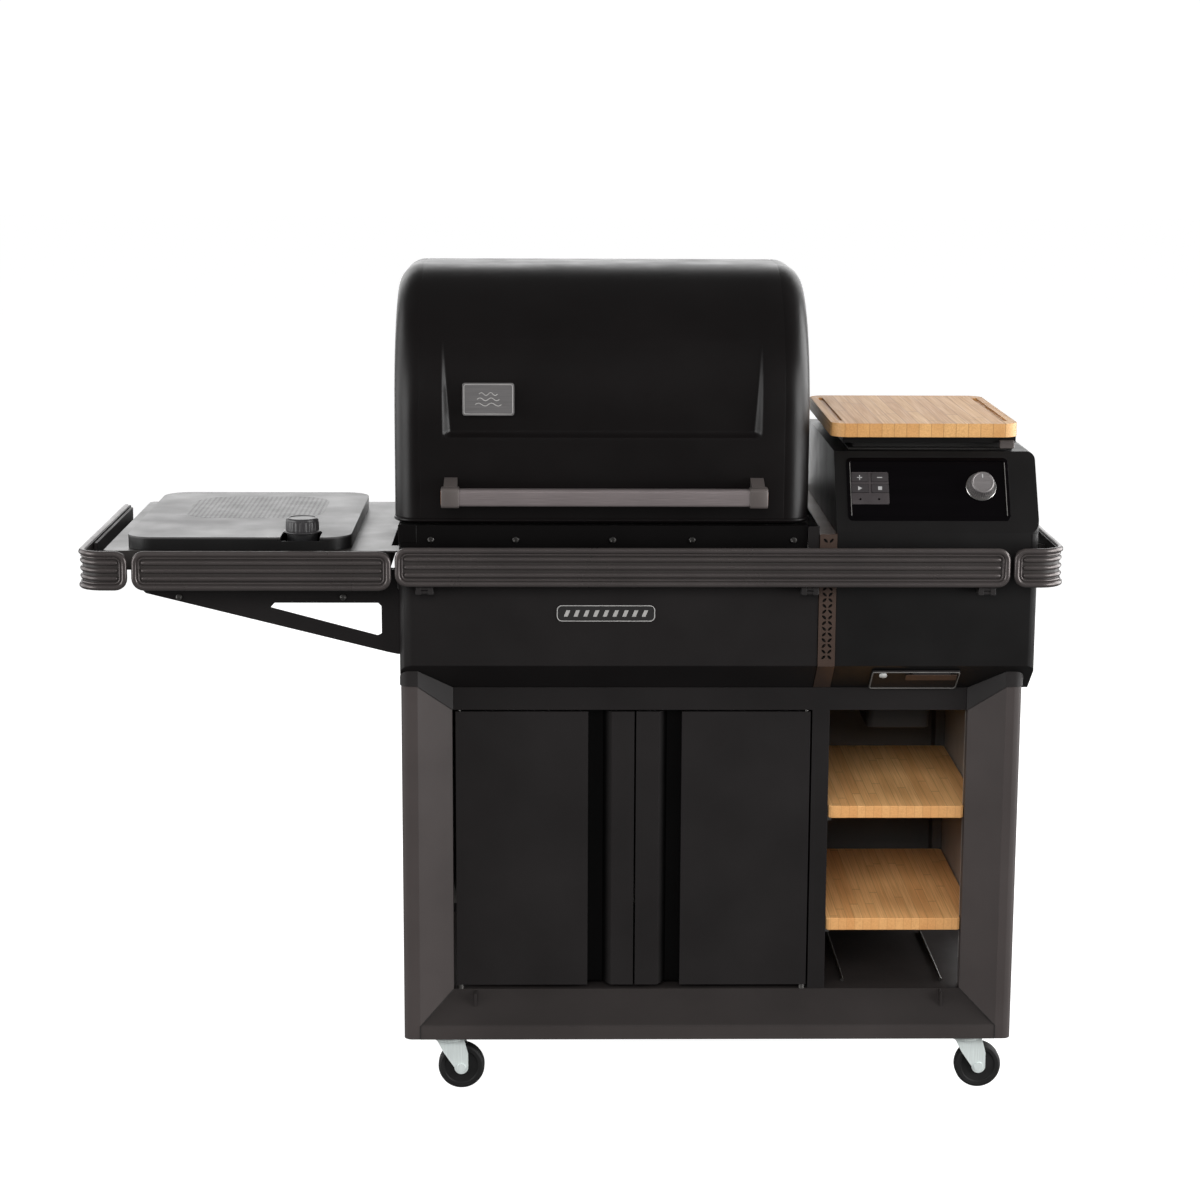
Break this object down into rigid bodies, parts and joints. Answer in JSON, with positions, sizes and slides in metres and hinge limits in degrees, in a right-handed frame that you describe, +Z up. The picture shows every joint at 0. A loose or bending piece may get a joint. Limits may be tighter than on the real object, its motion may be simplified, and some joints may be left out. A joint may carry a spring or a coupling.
{
  "type": "pellet smoker grill",
  "caption": "Pellet smoker grill: barrel lid, cook chamber, pellet hopper with controls, hob on a side shelf, and a cabinet cart on casters.",
  "frame": {"origin": "middle of the overall box, on the floor under the casters", "axes": "+Z up, the front with the doors and the handle faces -Y, +X towards the hopper side"},
  "size_m": [1.512, 0.635, 1.307],
  "materials": {
    "enamel": "semi-gloss fine texture enamel",
    "body_paint": "satin powder coat",
    "cart_paint": "satin warm grey powder coat",
    "door_paint": "satin black powder coat",
    "panel_paint": "satin grey powder coat",
    "rail_cast": "bead-blasted dark anodised",
    "handle_metal": "brushed dark anodised",
    "bracket_metal": "satin",
    "bronze_coat": "satin bronze",
    "bamboo": "oiled bamboo",
    "shelf_steel": "fine brushed",
    "cover_metal": "satin light grey top, dark skirt",
    "hob_glass": "polished black",
    "panel_gloss": "gloss black",
    "keypad_grey": "matte grey",
    "key_grey": "matte dark grey",
    "dial_metal": "turned and knurled",
    "knob_black": "matte black with fluted grip",
    "badge_metal": "brushed",
    "inner_steel": "plain sheet",
    "hardware_steel": "zinc",
    "pot_iron": "raw cast",
    "grate_steel": "polished wire",
    "tray_enamel": "porcelain enamel",
    "zinc": "zinc plated",
    "caster_tyre": "black rubber",
    "keg_paint": "satin",
    "black_plastic": "moulded"
  },
  "bodies": {
    "cart": {"base_frame": "cart_paint", "front_left_leg": "cart_paint", "front_right_leg": "cart_paint", "rear_posts": "cart_paint", "leg_collars": "cart_paint", "cabinet_frame": "cart_paint", "cabinet_panels": "panel_paint", "compartment_rails": "hardware_steel", "wood_shelves": "bamboo", "hinge_hardware": "hardware_steel", "chamber_shell": "body_paint", "front_ledge": "body_paint", "fasteners": "hardware_steel", "vent_band": "bronze_coat", "name_plate": "badge_metal", "fire_pot": "pot_iron", "heat_baffle": "inner_steel", "drip_tray": "tray_enamel", "cooking_grates": "grate_steel", "exhaust_duct": "body_paint", "hopper_shell": "body_paint", "hopper_bin": "inner_steel", "control_panel": "panel_gloss", "keypad": "keypad_grey", "power_inlet": "black_plastic", "auger_drive": "inner_steel", "fan_housing": "black_plastic", "side_shelf": "shelf_steel", "burner_unit": "hob_glass", "gussets": "body_paint", "front_rails": "rail_cast", "corner_rails": "rail_cast"},
    "lid": {"lid_shell": "enamel", "lid_liner": "inner_steel", "lid_badge": "badge_metal", "lid_handle": "handle_metal", "handle_brackets": "bracket_metal"},
    "hopper_cover": {"hopper_lid": "body_paint"},
    "board": {"cutting_board": "bamboo"},
    "door_left": {"left_door": "door_paint"},
    "door_right": {"right_door": "door_paint"},
    "hob_cover": {"burner_cover": "cover_metal"},
    "hob_knob": {"burner_knob": "knob_black"},
    "dial": {"control_dial": "dial_metal"},
    "chute_door": {"cleanout_door": "body_paint"},
    "feed_screw": {"auger": "inner_steel"},
    "fan": {"fan_impeller": "black_plastic"},
    "keg": {"grease_keg": "keg_paint"},
    "key_1": {"button_1": "key_grey"},
    "key_2": {"button_2": "key_grey"},
    "key_3": {"button_3": "key_grey"},
    "key_4": {"button_4": "key_grey"},
    "caster_1": {"fork_1": "zinc"},
    "caster_wheel_1": {"wheel_1": "caster_tyre"},
    "caster_2": {"fork_2": "zinc"},
    "caster_wheel_2": {"wheel_2": "caster_tyre"},
    "caster_3": {"fork_3": "zinc"},
    "caster_wheel_3": {"wheel_3": "caster_tyre"},
    "caster_4": {"fork_4": "zinc"},
    "caster_wheel_4": {"wheel_4": "caster_tyre"}
  },
  "joints": [
    {"name": "lid_hinge", "type": "hinge", "parent": "cart", "child": "lid", "pos_m": [0.043, 0.238, 0.931], "axis": [-1, 0, 0], "range_deg": [0, 75]},
    {"name": "hopper_lid_hinge", "type": "hinge", "parent": "cart", "child": "hopper_cover", "pos_m": [0.555, 0.196, 1.048], "axis": [-1, 0, 0], "range_deg": [0, 80]},
    {"name": "board_lift", "type": "slide", "parent": "hopper_cover", "child": "board", "axis": [0, 0, 1], "range_m": [0, 0.12]},
    {"name": "left_door_hinge", "type": "hinge", "parent": "cart", "child": "door_left", "pos_m": [-0.177, -0.2195, 0.39], "axis": [0, 0, -1], "range_deg": [0, 110]},
    {"name": "right_door_hinge", "type": "hinge", "parent": "cart", "child": "door_right", "pos_m": [0.371, -0.2195, 0.39], "axis": [0, 0, 1], "range_deg": [0, 110]},
    {"name": "cover_lift", "type": "slide", "parent": "cart", "child": "hob_cover", "axis": [0, 0, 1], "range_m": [0, 0.12]},
    {"name": "burner_knob_turn", "type": "hinge", "parent": "cart", "child": "hob_knob", "pos_m": [-0.419, -0.217, 0.9], "axis": [0, 0, -1], "range_deg": [0, 270]},
    {"name": "dial_turn", "type": "hinge", "parent": "cart", "child": "dial", "pos_m": [0.6315, -0.24574, 0.97907], "axis": [0, -0.8562, 0.5167], "continuous": true},
    {"name": "key_1_press", "type": "slide", "parent": "cart", "child": "key_1", "axis": [0, 0.8562, -0.5167], "range_m": [0, 0.0008], "stiffness_N_per_m": 400, "springref_m": -0.0005},
    {"name": "key_2_press", "type": "slide", "parent": "cart", "child": "key_2", "axis": [0, 0.8562, -0.5167], "range_m": [0, 0.0008], "stiffness_N_per_m": 400, "springref_m": -0.0005},
    {"name": "key_3_press", "type": "slide", "parent": "cart", "child": "key_3", "axis": [0, 0.8562, -0.5167], "range_m": [0, 0.0008], "stiffness_N_per_m": 400, "springref_m": -0.0005},
    {"name": "key_4_press", "type": "slide", "parent": "cart", "child": "key_4", "axis": [0, 0.8562, -0.5167], "range_m": [0, 0.0008], "stiffness_N_per_m": 400, "springref_m": -0.0005},
    {"name": "chute_door_hinge", "type": "hinge", "parent": "cart", "child": "chute_door", "pos_m": [0.535, -0.22842, 0.65587], "axis": [1, 0, 0], "range_deg": [0, 100]},
    {"name": "auger_turn", "type": "hinge", "parent": "cart", "child": "feed_screw", "pos_m": [0.35, 0.01, 0.752], "axis": [1, 0, 0], "continuous": true},
    {"name": "fan_turn", "type": "hinge", "parent": "cart", "child": "fan", "pos_m": [0.5, 0.164, 0.69], "axis": [0, 0, 1], "continuous": true},
    {"name": "keg_slide", "type": "slide", "parent": "cart", "child": "keg", "axis": [0, -1, 0], "range_m": [0, 0.1]},
    {"name": "caster_1_swivel", "type": "hinge", "parent": "cart", "child": "caster_1", "pos_m": [-0.196, -0.235, 0.08], "axis": [0, 0, 1], "continuous": true},
    {"name": "caster_1_roll", "type": "hinge", "parent": "caster_1", "child": "caster_wheel_1", "pos_m": [-0.176, -0.235, 0.037], "axis": [0, 1, 0], "continuous": true},
    {"name": "caster_2_swivel", "type": "hinge", "parent": "cart", "child": "caster_2", "pos_m": [0.636, -0.235, 0.08], "axis": [0, 0, 1], "continuous": true},
    {"name": "caster_2_roll", "type": "hinge", "parent": "caster_2", "child": "caster_wheel_2", "pos_m": [0.656, -0.235, 0.037], "axis": [0, 1, 0], "continuous": true},
    {"name": "caster_3_swivel", "type": "hinge", "parent": "cart", "child": "caster_3", "pos_m": [-0.196, 0.205, 0.08], "axis": [0, 0, 1], "continuous": true},
    {"name": "caster_3_roll", "type": "hinge", "parent": "caster_3", "child": "caster_wheel_3", "pos_m": [-0.176, 0.205, 0.037], "axis": [0, 1, 0], "continuous": true},
    {"name": "caster_4_swivel", "type": "hinge", "parent": "cart", "child": "caster_4", "pos_m": [0.636, 0.205, 0.08], "axis": [0, 0, 1], "continuous": true},
    {"name": "caster_4_roll", "type": "hinge", "parent": "caster_4", "child": "caster_wheel_4", "pos_m": [0.656, 0.205, 0.037], "axis": [0, 1, 0], "continuous": true}
  ]
}
